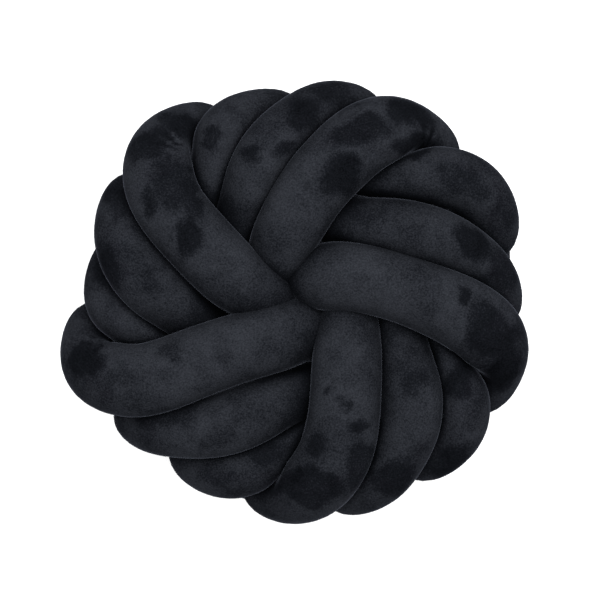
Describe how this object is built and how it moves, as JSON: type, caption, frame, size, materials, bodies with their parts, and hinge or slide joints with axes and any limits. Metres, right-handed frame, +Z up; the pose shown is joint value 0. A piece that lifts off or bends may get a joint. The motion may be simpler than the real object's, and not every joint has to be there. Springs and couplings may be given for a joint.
{
  "type": "decorative knot cushion",
  "caption": "Round black velvet cushion tied as a flat ring knot from one long filled tube, with parallel strands crossing in a pinwheel on both faces.",
  "frame": {"origin": "centre of the overall box, on the plane the cushion rests on", "axes": "+Z up through the flat knot, out of the face seen in the picture; +Y towards the top of the picture; +X towards its right"},
  "size_m": [0.3948, 0.3758, 0.1865],
  "materials": {
    "black_velvet": "short-pile black velvet with soft nap marks"
  },
  "bodies": {
    "root": {"knot_tube": "black_velvet"}
  },
  "joints": []
}
